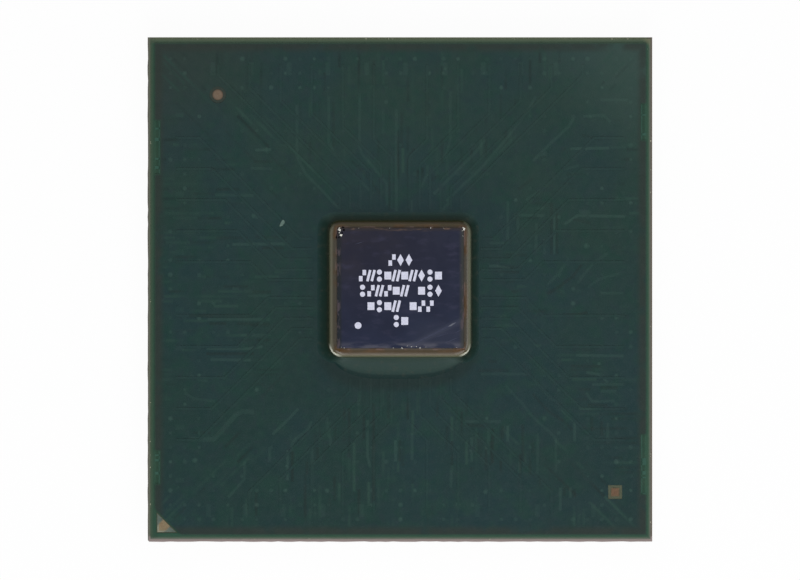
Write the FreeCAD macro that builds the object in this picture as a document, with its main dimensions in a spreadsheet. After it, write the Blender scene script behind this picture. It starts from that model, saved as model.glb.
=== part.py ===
import FreeCAD, Part
import math
import os
import Sketcher

# Flip-chip ball-grid package of a drive controller, 35 mm square.
# The frame has its origin on the board plane, under the middle of the package, with +Z up
# through the bare die. The pin 1 corner is at -X, -Y.

SIZES = (
    # Package and its layers, from the board up
    ("package_side", 35.0),
    ("ball_standoff", 0.5),
    ("bottom_mask_thick", 0.03),
    ("bottom_film_thick", 0.14),
    ("core_thick", 0.8),
    ("inner_film_thick", 0.06),
    ("plane_thick", 0.03),
    ("outer_film_thick", 0.06),
    ("top_mask_thick", 0.03),
    ("mask_pullback", 0.12),
    # Inner copper plane: distance from the rim, side notches, cut at pin 1
    ("plane_inset", 0.46),
    ("notch_depth", 0.36),
    ("left_back_notch_from_rim", 7.65),
    ("left_back_notch_length", 3.8),
    ("left_front_notch_from_rim", 5.1),
    ("left_front_notch_length", 2.4),
    ("right_back_notch_from_rim", 5.9),
    ("right_back_notch_length", 2.6),
    ("right_front_notch_from_rim", 5.3),
    ("right_front_notch_length", 4.2),
    ("plane_corner_cut", 1.75),
    # Bare marks and their windows in the mask
    ("mark_thick", 0.02),
    ("round_mark_from_left", 4.8),
    ("round_mark_from_back", 4.0),
    ("round_mark_wide", 0.76),
    ("round_window_wide", 1.16),
    ("square_mark_from_right", 2.58),
    ("square_mark_from_front", 3.38),
    ("square_mark_wide", 0.6),
    ("square_window_wide", 0.97),
    ("corner_mark_leg", 1.28),
    ("corner_mark_inset", 0.6),
    ("corner_window_margin", 0.05),
    # Fan-out tracks on the outer film
    ("track_wide", 0.12),
    ("track_thick", 0.02),
    ("track_first", 0.62),
    ("track_pitch", 0.72),
    ("track_clearance", 0.35),
    ("track_first_run", 0.9),
    ("track_run_step", 0.55),
    ("track_spread", 3.0),
    ("track_rim_clearance", 1.9),
    ("back_tracks_per_half", 6),
    ("side_tracks_per_half", 5),
    ("front_tracks_per_half", 5),
    # Die
    ("die_wide", 8.77),
    ("die_deep", 8.33),
    ("die_thick", 0.78),
    ("die_gap", 0.07),
    ("die_y", 0.07),
    ("die_chip_leg", 0.32),
    ("die_chip_depth", 0.06),
    # Bumps under the die
    ("bump_wide", 0.2),
    ("bump_pitch", 1.15),
    ("bump_rows", 6),
    # Underfill
    ("bead_wide", 0.5),
    ("bead_corner", 1.05),
    ("bead_shoulder_inset", 0.05),
    ("bead_shoulder_height", 0.34),
    ("bead_crest_inset", 0.2),
    ("bead_crest_height", 0.6),
    ("bead_top_height", 0.72),
    ("moat_thick", 0.035),
    ("moat_left", 0.86),
    ("moat_right", 0.34),
    ("moat_back", 0.43),
    ("moat_front", 0.5),
    ("moat_corner", 0.9),
    ("tongue_reach", 1.26),
    ("tongue_wide", 9.3),
    ("tongue_height", 0.26),
    ("tongue_top_reach", 0.15),
    ("tongue_top_wide", 7.4),
    # Solder balls
    ("ball_wide", 0.6),
    ("ball_land_wide", 0.5),
    ("ball_pitch", 1.0),
    ("ball_margin", 1.0),
    ("outer_ball_rows", 4),
    ("center_ball_rows", 12),
)

# Keeps a whole number of pitches from being rounded down.
ROUNDING = 1e-6

LAYERS = ("ball_standoff", "bottom_mask_thick", "bottom_film_thick", "core_thick", "inner_film_thick",
          "plane_thick", "outer_film_thick", "top_mask_thick", "die_gap", "die_thick")

doc = FreeCAD.newDocument("controller_package")


def make_sheet():
    """Keep every driving size in the sheet, one named cell each."""
    sheet = doc.addObject("Spreadsheet::Sheet", "sizes")
    for row, (name, number) in enumerate(SIZES, start=1):
        sheet.set(f"A{row}", name)
        sheet.set(f"B{row}", str(number))
        sheet.setAlias(f"B{row}", name)
    doc.recompute()
    return sheet


SHEET = make_sheet()


def size(name):
    """A size as an expression on the sheet."""
    return f"sizes.{name}"


def value(expression):
    """The number that an expression on the sheet comes to."""
    return float(SHEET.evalExpression(expression))


def under(layer):
    """Height of the underside of a layer, where the copper plane is present."""
    return " + ".join(size(name) for name in LAYERS[:LAYERS.index(layer)])


RIM_TOP = f"{under('plane_thick')} + {size('outer_film_thick')}"
FILM_TOP = under("top_mask_thick")
MASK_TOP = under("die_gap")
HALF_PACKAGE = f"{size('package_side')} / 2"


def bind(item, **expressions):
    for path, expression in expressions.items():
        item.setExpression(path.replace("__", "."), expression)


def place(item, x="0", y="0", z="0"):
    bind(item, Placement__Base__x=x, Placement__Base__y=y, Placement__Base__z=z)


def box(name, wide, deep, tall, x, y, z):
    """Box with its middle over x, y and its underside at z."""
    item = doc.addObject("Part::Box", name)
    bind(item, Length=wide, Width=deep, Height=tall)
    place(item, f"{x} - ({wide}) / 2", f"{y} - ({deep}) / 2", z)
    return item


def disc(name, wide, tall, x, y, z):
    item = doc.addObject("Part::Cylinder", name)
    bind(item, Radius=f"({wide}) / 2", Height=tall)
    place(item, x, y, z)
    return item


def diamond(name, reach, tall, x, y, z):
    """Square post turned so that its corners point along X and Y."""
    item = doc.addObject("Part::Prism", name)
    item.Polygon = 4
    bind(item, Circumradius=reach, Height=tall)
    place(item, x, y, z)
    return item


def fuse(name, *items):
    joined = doc.addObject("Part::MultiFuse", name)
    joined.Shapes = list(items)
    joined.Refine = True
    return joined


def cut(name, base, tool):
    left = doc.addObject("Part::Cut", name)
    left.Base = base
    left.Tool = tool
    left.Refine = True
    return left


def common(name, base, tool):
    shared = doc.addObject("Part::Common", name)
    shared.Base = base
    shared.Tool = tool
    return shared


def shape_feature(name, shape):
    item = doc.addObject("Part::Feature", name)
    item.Shape = shape
    item.Placement = FreeCAD.Placement()
    return item


def new_sketch(body, name, x="0", y="0", z="0"):
    """Empty sketch on the body's XY plane, moved by x, y, z."""
    sketch = body.newObject("Sketcher::SketchObject", name)
    flat = next(item for item in body.Origin.OriginFeatures if item.Role == "XY_Plane")
    sketch.AttachmentSupport = [(flat, "")]
    sketch.MapMode = "FlatFace"
    bind(sketch, AttachmentOffset__Base__x=x, AttachmentOffset__Base__y=y, AttachmentOffset__Base__z=z)
    return sketch


def dimension(sketch, name, constraint, expression):
    sketch.addConstraint(constraint)
    sketch.renameConstraint(sketch.ConstraintCount - 1, name)
    sketch.setExpression(f"Constraints.{name}", expression)


def rectangle(body, name, wide, deep, **offset):
    """Centred rectangle: front, right, back and left edges."""
    sketch = new_sketch(body, name, **offset)
    across, along = value(wide) / 2, value(deep) / 2
    corners = [FreeCAD.Vector(x, y) for x, y in
               ((-across, -along), (across, -along), (across, along), (-across, along))]
    for here, there in zip(corners, corners[1:] + corners[:1]):
        sketch.addGeometry(Part.LineSegment(here, there), False)
    for edge in range(4):
        sketch.addConstraint(Sketcher.Constraint("Coincident", edge, 2, (edge + 1) % 4, 1))
        sketch.addConstraint(Sketcher.Constraint("Vertical" if edge % 2 else "Horizontal", edge))
    sketch.addConstraint(Sketcher.Constraint("Symmetric", 0, 1, 2, 1, -1, 1))
    dimension(sketch, "wide", Sketcher.Constraint("DistanceX", 0, 1, 0, 2, 2 * across), wide)
    dimension(sketch, "deep", Sketcher.Constraint("DistanceY", 1, 1, 1, 2, 2 * along), deep)
    return sketch


def rounded_rectangle(body, name, wide, deep, corner, **offset):
    """Centred rectangle with an arc at each corner; lines 0 to 3, arcs 4 to 7."""
    sketch = new_sketch(body, name, **offset)
    across, along, radius = value(wide) / 2, value(deep) / 2, value(corner)
    short, low = across - radius, along - radius
    edges = (((-short, -along), (short, -along)), ((across, -low), (across, low)),
             ((short, along), (-short, along)), ((-across, low), (-across, -low)))
    for start, end in edges:
        sketch.addGeometry(Part.LineSegment(FreeCAD.Vector(*start), FreeCAD.Vector(*end)), False)
    centers = ((short, -low), (short, low), (-short, low), (-short, -low))
    for turn, center in enumerate(centers, start=-1):
        circle = Part.Circle(FreeCAD.Vector(*center), FreeCAD.Vector(0, 0, 1), radius)
        start = turn * math.pi / 2
        sketch.addGeometry(Part.ArcOfCircle(circle, start, start + math.pi / 2), False)
    for edge in range(4):
        sketch.addConstraint(Sketcher.Constraint("Tangent", edge, 2, 4 + edge, 1))
        sketch.addConstraint(Sketcher.Constraint("Tangent", 4 + edge, 2, (edge + 1) % 4, 1))
        sketch.addConstraint(Sketcher.Constraint("Vertical" if edge % 2 else "Horizontal", edge))
    for arc in (5, 6, 7):
        sketch.addConstraint(Sketcher.Constraint("Equal", 4, arc))
    sketch.addConstraint(Sketcher.Constraint("Symmetric", 0, 1, 2, 1, -1, 1))
    dimension(sketch, "wide", Sketcher.Constraint("DistanceX", 3, 1, 1, 1, 2 * across), wide)
    dimension(sketch, "deep", Sketcher.Constraint("DistanceY", 0, 1, 2, 1, 2 * along), deep)
    dimension(sketch, "corner", Sketcher.Constraint("Radius", 4, radius), corner)
    return sketch


def bow(body, name, wide, reach, **offset):
    """Straight chord along X, closed in front by one shallow arc that bulges by reach."""
    sketch = new_sketch(body, name, **offset)
    across, bulge = value(wide) / 2, value(reach)
    left, right, front = (FreeCAD.Vector(*at) for at in ((-across, 0), (across, 0), (0, -bulge)))
    sketch.addGeometry(Part.LineSegment(right, left), False)
    sketch.addGeometry(Part.Arc(left, front, right), False)
    sketch.addConstraint(Sketcher.Constraint("Coincident", 0, 2, 1, 1))
    sketch.addConstraint(Sketcher.Constraint("Coincident", 0, 1, 1, 2))
    sketch.addConstraint(Sketcher.Constraint("Symmetric", 0, 1, 0, 2, -1, 1))
    dimension(sketch, "wide", Sketcher.Constraint("DistanceX", 0, 2, 0, 1, 2 * across), wide)
    radius = sketch.Geometry[1].Radius
    dimension(sketch, "bend", Sketcher.Constraint("Radius", 1, radius),
              f"(({wide}) ^ 2 / 4 + ({reach}) ^ 2) / (2 * ({reach}))")
    return sketch


def new_body(name, x="0", y="0", z="0"):
    body = doc.addObject("PartDesign::Body", name)
    place(body, x, y, z)
    return body


def pad(body, sketch, length):
    feature = body.newObject("PartDesign::Pad", f"{sketch.Name}_pad")
    feature.Profile = sketch
    bind(feature, Length=length)
    return feature


def loft(body, sketches):
    feature = body.newObject("PartDesign::AdditiveLoft", f"{sketches[0].Name}_loft")
    feature.Profile = sketches[0]
    feature.Sections = sketches[1:]
    feature.Ruled = True
    return feature


def square_sheet(name, side, layer_thick, z):
    """One bonded sheet of the laminate, square and flat."""
    body = new_body(name, z=z)
    pad(body, rectangle(body, f"{name}_outline", side, side), layer_thick)
    return body


def notch_tools(name, grow, tall, z):
    """Four side notches of the copper plane, made narrower by grow."""
    tools = []
    for side, across in (("left", -1), ("right", 1)):
        for end, along in (("front", -1), ("back", 1)):
            key = f"{side}_{end}_notch"
            edge = f"{across} * ({HALF_PACKAGE} - {size('plane_inset')})"
            middle = f"{along} * ({HALF_PACKAGE} - {size(key + '_from_rim')})"
            reach = f"2 * ({size('notch_depth')} - {grow})"
            tools.append(box(f"{name}_{key}", reach, f"{size(key + '_length')} - 2 * {grow}", tall,
                             edge, middle, z))
    return tools


def copper_field(name, grow, tall, z):
    """Slab with the outline of the copper plane, pushed outwards by grow."""
    side = f"({size('package_side')} - 2 * {size('plane_inset')})"
    slab = box(f"{name}_slab", f"{side} + 2 * {grow}", f"{side} + 2 * {grow}", tall, "0", "0", z)
    corner = f"-({side}) / 2 - {grow}"
    # The slanted edge moves out by grow too, which lengthens each leg of the corner by this share.
    leg = f"{size('plane_corner_cut')} + {grow} * (2 - sqrt(2))"
    tools = notch_tools(name, grow, tall, z)
    tools.append(diamond(f"{name}_corner", leg, tall, corner, corner, z))
    return cut(name, slab, fuse(f"{name}_cuts", *tools))


def corner_triangle(name, grow, tall, z):
    """Triangle at the pin 1 corner with its square corner outwards, pushed outwards by grow."""
    inset = f"-({HALF_PACKAGE}) + {size('corner_mark_inset')} - {grow}"
    leg = f"({size('corner_mark_leg')} + {grow} * (2 + sqrt(2)))"
    square = box(f"{name}_square", leg, leg, tall, f"{inset} + {leg} / 2", f"{inset} + {leg} / 2", z)
    return common(name, square, diamond(f"{name}_slant", leg, tall, inset, inset, z))


def track_lines():
    """Centre line of each fan-out track, nested so that the outer ones turn first."""
    margin = value(size("bead_wide")) + value(size("track_clearance"))
    rim = value(HALF_PACKAGE) - value(size("track_rim_clearance"))
    first, pitch = value(size("track_first")), value(size("track_pitch"))
    run, step = value(size("track_first_run")), value(size("track_run_step"))
    spread, wide = value(size("track_spread")), value(size("track_wide"))
    half_wide, half_deep = value(size("die_wide")) / 2, value(size("die_deep")) / 2
    shift = value(size("die_y"))
    sides = (("back", 0, half_deep + shift + value(size("moat_back"))),
             ("side", 90, half_wide + value(size("moat_left"))),
             ("front", 180, half_deep - shift + value(size("tongue_reach"))),
             ("side", 270, half_wide + value(size("moat_right"))))
    lines = []
    for side, angle, edge in sides:
        turn = FreeCAD.Rotation(FreeCAD.Vector(0, 0, 1), angle)
        count = int(value(size(f"{side}_tracks_per_half")))
        for hand in (-1, 1):
            for index in range(count):
                start = first + index * pitch
                bend = edge + margin + run + (count - 1 - index) * step
                slant = min(start * (spread - 1), rim - bend)
                flat = [(start, edge + margin), (start, bend), (start + slant, bend + slant)]
                if bend + slant < rim - wide:
                    flat.append((start + slant, rim))
                lines.append([turn.multVec(FreeCAD.Vector(hand * across, out)) for across, out in flat])
    return lines


def strip(line, wide, thick, z):
    """Flat strip of one width along a centre line, mitred at its bends."""
    sides = ([], [])
    headings = [(there - here).normalize() for here, there in zip(line, line[1:])]
    for index, point in enumerate(line):
        before = headings[max(index - 1, 0)]
        after = headings[min(index, len(headings) - 1)]
        across = FreeCAD.Vector(-(before.y + after.y), before.x + after.x).normalize()
        reach = wide / 2 / math.sqrt((1 + before.dot(after)) / 2)
        sides[0].append(point + across * reach)
        sides[1].append(point - across * reach)
    outline = sides[0] + sides[1][::-1]
    wire = Part.makePolygon([point + FreeCAD.Vector(0, 0, z) for point in outline + outline[:1]])
    return Part.Face(wire).extrude(FreeCAD.Vector(0, 0, thick))


def make_tracks():
    """Copper tracks on the outer film, and the ridges that the mask forms over them."""
    wide, thick, cover = (value(size(name)) for name in ("track_wide", "track_thick", "top_mask_thick"))
    level = value(FILM_TOP)
    lines = track_lines()
    tracks = [strip(line, wide, thick, level) for line in lines]
    ridges = [strip(line, wide + 2 * cover, thick + cover, level) for line in lines]
    return (shape_feature("top_tracks", Part.makeCompound(tracks)),
            shape_feature("mask_ridges", Part.makeCompound(ridges)))


def barrel(top_reach, foot_reach, tall):
    """Eight-cornered barrel: square foot at height 0 and square top turned by an eighth of a turn."""
    foot, top = ([FreeCAD.Vector(reach * math.cos(angle), reach * math.sin(angle), level)
                  for angle in (start + quarter * math.pi / 2 for quarter in range(4))]
                 for reach, start, level in ((foot_reach, 0, 0), (top_reach, math.pi / 4, tall)))
    faces = [foot, top]
    for index in range(4):
        following = (index + 1) % 4
        faces.append([foot[index], foot[following], top[index]])
        faces.append([foot[following], top[following], top[index]])
    shells = Part.makeShell([Part.Face(Part.makePolygon(face + face[:1])) for face in faces])
    return Part.makeSolid(shells)


def grid_rows(rows, pitch):
    """Places along one direction, spread evenly about the middle."""
    return [(index - (rows - 1) / 2) * pitch for index in range(rows)]


def make_balls():
    """Outer rows of balls and a centre block, with the four corner balls as a group of their own."""
    pitch = value(size("ball_pitch"))
    span = value(size("package_side")) - 2 * value(size("ball_margin"))
    rows = math.floor(span / pitch + ROUNDING) + 1
    outer_rows, center_rows = (int(value(size(name))) for name in ("outer_ball_rows", "center_ball_rows"))
    ball = barrel(value(size("ball_land_wide")) / 2, value(size("ball_wide")) / 2,
                  value(size("ball_standoff")))
    places = grid_rows(rows, pitch)
    center_first = (rows - center_rows) // 2
    groups = {"corner_balls": [], "outer_balls": [], "center_balls": []}
    for column, x in enumerate(places):
        for row, y in enumerate(places):
            ends = [index in (0, rows - 1) for index in (column, row)]
            steps_in = min(column, row, rows - 1 - column, rows - 1 - row)
            if all(ends):
                group = "corner_balls"
            elif steps_in < outer_rows:
                group = "outer_balls"
            elif steps_in >= center_first:
                group = "center_balls"
            else:
                continue
            groups[group].append(ball.translated(FreeCAD.Vector(x, y, 0)))
    return [shape_feature(name, Part.makeCompound(solids)) for name, solids in groups.items()]


def make_bumps():
    """Solder bumps between the mask and the face of the die, in a coarse grid."""
    reach = value(size("bump_wide")) / 2
    bump = barrel(reach, reach, value(size("die_gap")))
    places = grid_rows(int(value(size("bump_rows"))), value(size("bump_pitch")))
    middle, level = value(size("die_y")), value(MASK_TOP)
    solids = [bump.translated(FreeCAD.Vector(x, y + middle, level)) for x in places for y in places]
    return shape_feature("die_bumps", Part.makeCompound(solids))


def make_die():
    """Bare silicon with a small chip out of its back left corner."""
    body = new_body("die", y=size("die_y"), z=f"{MASK_TOP} + {size('die_gap')}")
    pad(body, rectangle(body, "die_outline", size("die_wide"), size("die_deep")), size("die_thick"))
    leg = size("die_chip_leg")
    chip = rectangle(body, "die_chip", leg, leg, x=f"-{size('die_wide')} / 2",
                     y=f"{size('die_deep')} / 2", z=size("die_thick"))
    pocket = body.newObject("PartDesign::Pocket", "die_chip_pocket")
    pocket.Profile = chip
    bind(pocket, Length=size("die_chip_depth"))
    return body


def bead_section(body, name, inset, height):
    """Outline of the bead at one height, inset from its foot."""
    bead = f"2 * ({size('bead_wide')} - {inset})"
    return rounded_rectangle(body, name, f"{size('die_wide')} + {bead}", f"{size('die_deep')} + {bead}",
                             f"{size('bead_corner')} - {inset}", z=height)


def make_resin():
    """Underfill before the die is set in it: thin moat, rounded bead, sloping front tongue."""
    body = new_body("resin", y=size("die_y"), z=MASK_TOP)
    bead = size("bead_wide")
    wide = f"{size('die_wide')} + 2 * {bead} + {size('moat_left')} + {size('moat_right')}"
    deep = f"{size('die_deep')} + 2 * {bead} + {size('moat_back')} + {size('moat_front')}"
    moat = rounded_rectangle(body, "moat", wide, deep, size("moat_corner"),
                             x=f"({size('moat_right')} - {size('moat_left')}) / 2",
                             y=f"({size('moat_back')} - {size('moat_front')}) / 2")
    pad(body, moat, size("moat_thick"))
    loft(body, [bead_section(body, "bead_foot", "0", "0"),
                bead_section(body, "bead_shoulder", size("bead_shoulder_inset"),
                             size("bead_shoulder_height")),
                bead_section(body, "bead_crest", size("bead_crest_inset"), size("bead_crest_height")),
                bead_section(body, "bead_top", bead, size("bead_top_height"))])
    front = f"-{size('die_deep')} / 2 - {bead}"
    loft(body, [bow(body, "tongue_foot", size("tongue_wide"), size("tongue_reach"), y=front),
                bow(body, "tongue_top", size("tongue_top_wide"), size("tongue_top_reach"), y=front,
                    z=size("tongue_height"))])
    return body


def make_outer_film(plane):
    """Outer build-up film: covers the rim, and steps up over the copper plane that it buries."""
    thick = size("plane_thick")
    sheet = square_sheet("film_sheet", size("package_side"), size("outer_film_thick"), under("plane_thick"))
    step = copper_field("film_step", thick, thick, RIM_TOP)
    return cut("outer_film", fuse("film_stack", sheet, step), plane), step


def make_marks():
    """Bare metal marks and the windows that the mask leaves round them."""
    thick, through = size("mark_thick"), f"{size('plane_thick')} + {size('top_mask_thick')}"
    round_at = (f"{size('round_mark_from_left')} - {HALF_PACKAGE}",
                f"{HALF_PACKAGE} - {size('round_mark_from_back')}")
    square_at = (f"{HALF_PACKAGE} - {size('square_mark_from_right')}",
                 f"{size('square_mark_from_front')} - {HALF_PACKAGE}")
    marks = [disc("round_mark", size("round_mark_wide"), thick, *round_at, FILM_TOP),
             box("square_mark", size("square_mark_wide"), size("square_mark_wide"), thick,
                 *square_at, FILM_TOP),
             corner_triangle("corner_mark", "0", thick, RIM_TOP)]
    windows = [disc("round_window", size("round_window_wide"), through, *round_at, FILM_TOP),
               box("square_window", size("square_window_wide"), size("square_window_wide"), through,
                   *square_at, FILM_TOP),
               corner_triangle("corner_window", size("corner_window_margin"), through, RIM_TOP)]
    return marks, windows


def make_top_mask(film_step, tracks, ridges, windows):
    """Green mask: lies on the rim, steps up over the film and the tracks, and leaves the marks bare."""
    side = f"{size('package_side')} - 2 * {size('mask_pullback')}"
    sheet = square_sheet("mask_sheet", side, size("top_mask_thick"), RIM_TOP)
    cover = f"({size('plane_thick')} + {size('top_mask_thick')})"
    step = copper_field("mask_step", cover, cover, RIM_TOP)
    stack = fuse("mask_stack", sheet, step, ridges)
    return cut("top_mask", stack, fuse("mask_cuts", film_step, tracks, *windows))


def build():
    package = size("package_side")
    plane = copper_field("copper_plane", "0", size("plane_thick"), under("plane_thick"))
    outer_film, film_step = make_outer_film(plane)
    marks, windows = make_marks()
    tracks, ridges = make_tracks()
    die = make_die()
    bumps = make_bumps()
    return [
        square_sheet("bottom_mask", f"{package} - 2 * {size('mask_pullback')}",
                     size("bottom_mask_thick"), under("bottom_mask_thick")),
        square_sheet("bottom_film", package, size("bottom_film_thick"), under("bottom_film_thick")),
        square_sheet("laminate_core", package, size("core_thick"), under("core_thick")),
        square_sheet("inner_film", package, size("inner_film_thick"), under("inner_film_thick")),
        plane,
        outer_film,
        tracks,
        make_top_mask(film_step, tracks, ridges, windows),
        *marks,
        die,
        bumps,
        cut("underfill", make_resin(), fuse("set_in_resin", die, bumps)),
        *make_balls(),
    ]


def check(parts):
    for item in doc.Objects:
        if {"Invalid", "Error"} & set(item.State):
            raise RuntimeError(f"{item.Name} did not rebuild: {item.State}")
    for part in parts:
        if part.Shape.isNull() or not part.Shape.isValid():
            raise RuntimeError(f"{part.Label} has no valid shape")


NODES = build()
doc.recompute()
check(NODES)
os.makedirs("parts", exist_ok=True)
for node in NODES:
    node.Shape.exportStep(f"parts/{node.Label}.step")
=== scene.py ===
import math
import random

import bpy
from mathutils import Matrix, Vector


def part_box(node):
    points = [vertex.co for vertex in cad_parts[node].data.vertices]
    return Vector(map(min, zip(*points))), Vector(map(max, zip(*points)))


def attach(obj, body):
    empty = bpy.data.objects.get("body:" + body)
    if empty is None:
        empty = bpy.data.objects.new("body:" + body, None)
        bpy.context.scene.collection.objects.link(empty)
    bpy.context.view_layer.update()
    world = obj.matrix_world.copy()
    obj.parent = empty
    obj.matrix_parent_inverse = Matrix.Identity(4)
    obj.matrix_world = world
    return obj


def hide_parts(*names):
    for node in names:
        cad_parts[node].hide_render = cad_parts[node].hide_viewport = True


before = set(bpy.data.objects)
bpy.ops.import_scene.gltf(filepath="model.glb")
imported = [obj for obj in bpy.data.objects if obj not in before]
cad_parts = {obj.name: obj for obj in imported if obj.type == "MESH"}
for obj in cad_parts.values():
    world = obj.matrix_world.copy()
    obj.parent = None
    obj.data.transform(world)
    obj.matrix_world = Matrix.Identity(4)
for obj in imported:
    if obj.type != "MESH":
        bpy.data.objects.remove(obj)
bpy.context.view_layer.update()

# Lengths in this script are millimetres. The meshes, like the frame, are in metres.
MM = 0.001


def node_box(name):
    """Lowest and highest corner of a node of the frame, in millimetres."""
    low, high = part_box(name)
    return low / MM, high / MM


# Light of the sky that smooth dark surfaces return to the camera on top of their own colour.
SHEEN = 0.017
DIE_SHEEN = 0.0105


def tone(red, green, blue, sheen=SHEEN):
    """Linear colour that shows the given 0 to 255 values once the sheen is added."""
    linear = [((channel / 255 + 0.055) / 1.055) ** 2.4 - sheen for channel in (red, green, blue)]
    return (*[max(channel, 0.0012) for channel in linear], 1.0)


# Places taken from the frame.
DIE_LOW, DIE_HIGH = node_box("die")
DIE_MIDDLE = (DIE_LOW + DIE_HIGH) / 2
HALF_DIE = (DIE_HIGH - DIE_LOW) / 2
HALF_SIDE = node_box("laminate_core")[1].x
HALF_PLANE = node_box("copper_plane")[1].x
RESIN_LOW, RESIN_HIGH = node_box("underfill")
MASK_TOP = RESIN_LOW.z
MASK_UNDER = node_box("bottom_mask")[0].z
RIM_TOP = node_box("corner_mark")[0].z

# Sizes of the copper plane that the boxes of the frame don't give. A notch is its side, the middle
# and the length.
NOTCH_DEPTH = 0.36
NOTCHES = ((1, 11.6, 2.6), (1, -12.2, 4.2), (-1, 9.85, 3.8), (-1, -12.4, 2.4))
PLANE_CORNER_CUT = 1.75
PLANE_SHADE = HALF_PLANE + 0.03

# Tongue of the underfill in front of the die.
TONGUE_HALF_WIDE = 4.75
TONGUE_REACH = 2.35
TONGUE_SKEW = 0.16
TONGUE_HEIGHT = 0.15

# Outline of the long scratch on the die, and short ones from x, y to x, y with their width.
LONG_SCRATCH = ((0.5, -4.05), (1.6, -3.52), (2.7, -2.99), (3.45, -2.6), (3.88, -2.36), (3.84, -2.28),
                (3.4, -2.49), (2.62, -2.88), (1.55, -3.42))
SCRATCHES = (
    (0.9, -3.95, 1.2, -3.78, 0.1), (2.2, -3.4, 3.4, -3.05, 0.04), (3.0, -3.76, 4.1, -3.34, 0.06),
    (-3.2, 3.1, -2.5, 3.3, 0.04), (3.75, -3.05, 4.25, -2.83, 0.05),
)
SCRATCH_TIP = (3.3, -2.62, 3.86, -2.32, 0.11)


def maths(operation, swap=False):
    """Method that feeds a Math node with the flow and another value, or the other way round."""
    def result(self, *others):
        values = (*others, self) if swap else (self, *others)
        return self.graph.flow("ShaderNodeMath", dict(enumerate(values)), operation=operation)
    return result


class Flow:
    """An output of a node that takes part in plain arithmetic."""

    def __init__(self, graph, socket):
        self.graph, self.socket = graph, socket

    __add__ = __radd__ = maths("ADD")
    __sub__, __rsub__ = maths("SUBTRACT"), maths("SUBTRACT", swap=True)
    __mul__ = __rmul__ = maths("MULTIPLY")
    __truediv__, __pow__, __abs__ = maths("DIVIDE"), maths("POWER"), maths("ABSOLUTE")
    __lt__, __gt__ = maths("LESS_THAN"), maths("GREATER_THAN")
    above, below = maths("MAXIMUM"), maths("MINIMUM")
    floor, fraction = maths("FLOOR"), maths("FRACT")

    def rise(self, low, high):
        """0 up to low, 1 from high, and a smooth step between them."""
        sockets = {0: self, 1: low, 2: high}
        return self.graph.flow("ShaderNodeMapRange", sockets, interpolation_type="SMOOTHSTEP")


def cleared(owner):
    """Node tree of a material or a world, with its nodes removed."""
    owner.use_nodes = True
    owner.node_tree.nodes.clear()
    return owner.node_tree


class Graph:
    """A node tree, with one way to add a node: its kind, its socket values and its settings."""

    def __init__(self, tree):
        self.tree = tree

    def node(self, kind, sockets=None, **settings):
        """Add a node. A socket is given by its number, or by its name among the enabled ones."""
        made = self.tree.nodes.new(kind)
        for key, value in settings.items():
            setattr(made, key, value)
        for key, value in (sockets or {}).items():
            named = (each for each in made.inputs if each.name == key and each.enabled)
            self.feed(next(named) if isinstance(key, str) else made.inputs[key], value)
        return made

    def feed(self, socket, value):
        if isinstance(value, Flow):
            self.tree.links.new(value.socket, socket)
        else:
            socket.default_value = value

    def flow(self, kind, sockets=None, output=0, **settings):
        return Flow(self, self.node(kind, sockets, **settings).outputs[output])

    def split(self, vector):
        return [Flow(self, socket) for socket in self.node("ShaderNodeSeparateXYZ", {0: vector}).outputs]

    def vector(self, x=0.0, y=0.0, z=0.0):
        return self.flow("ShaderNodeCombineXYZ", {0: x, 1: y, 2: z})

    def ramp(self, share, stops):
        """Colour at a share from 0 to 1, between stops that each have a place and a colour."""
        made = self.node("ShaderNodeValToRGB", {0: share})
        elements = made.color_ramp.elements
        while len(elements) < len(stops):
            elements.new(1.0)
        for element, (place, color) in zip(elements, stops):
            element.position = place
            element.color = color
        return Flow(self, made.outputs[0])


class Finish(Graph):
    """A surface material: one Principled shader fed by sums on places in millimetres."""

    def __init__(self, name, **constants):
        self.material = bpy.data.materials.new(name)
        super().__init__(cleared(self.material))
        self.surface = self.node("ShaderNodeBsdfPrincipled", constants)
        self.node("ShaderNodeOutputMaterial", {0: Flow(self, self.surface.outputs[0])})
        place = self.flow("ShaderNodeTexCoord", output=3)
        self.place = self.flow("ShaderNodeVectorMath", {0: place, "Scale": 1 / MM}, operation="SCALE")
        self.x, self.y, self.z = self.split(self.place)

    def blend(self, share, first, second):
        """Colour that goes from first to second as share goes from 0 to 1."""
        return self.flow("ShaderNodeMix", {0: share, 6: first, 7: second}, 2, data_type="RGBA")

    def coats(self, color, *coats, sheen=SHEEN):
        """Colour under coats, each the share that it takes over and its red, green and blue."""
        for share, *channels in coats:
            color = self.blend(share, color, tone(*channels, sheen))
        return color

    def noise(self, per_mm, detail=2.0, stretch=(1, 1, 1), shift=(0, 0, 0)):
        """Smooth noise, with per_mm cells in a millimetre before the stretch."""
        sockets = {"Vector": self.place, "Location": shift, "Scale": stretch}
        sockets = {"Vector": self.flow("ShaderNodeMapping", sockets), "Scale": per_mm, "Detail": detail}
        return self.flow("ShaderNodeTexNoise", sockets)

    def attribute(self, name):
        return self.flow("ShaderNodeAttribute", output=2, attribute_name=name)

    def done(self, color, roughness, height, depth):
        """The material with its colour, its roughness and a bump of height 0 to 1 times depth."""
        bump = self.flow("ShaderNodeBump", {"Strength": 1.0, "Distance": depth * MM, "Height": height})
        for key, value in (("Base Color", color), ("Roughness", roughness), ("Normal", bump)):
            self.feed(self.surface.inputs[key], value)
        return self.material


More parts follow.
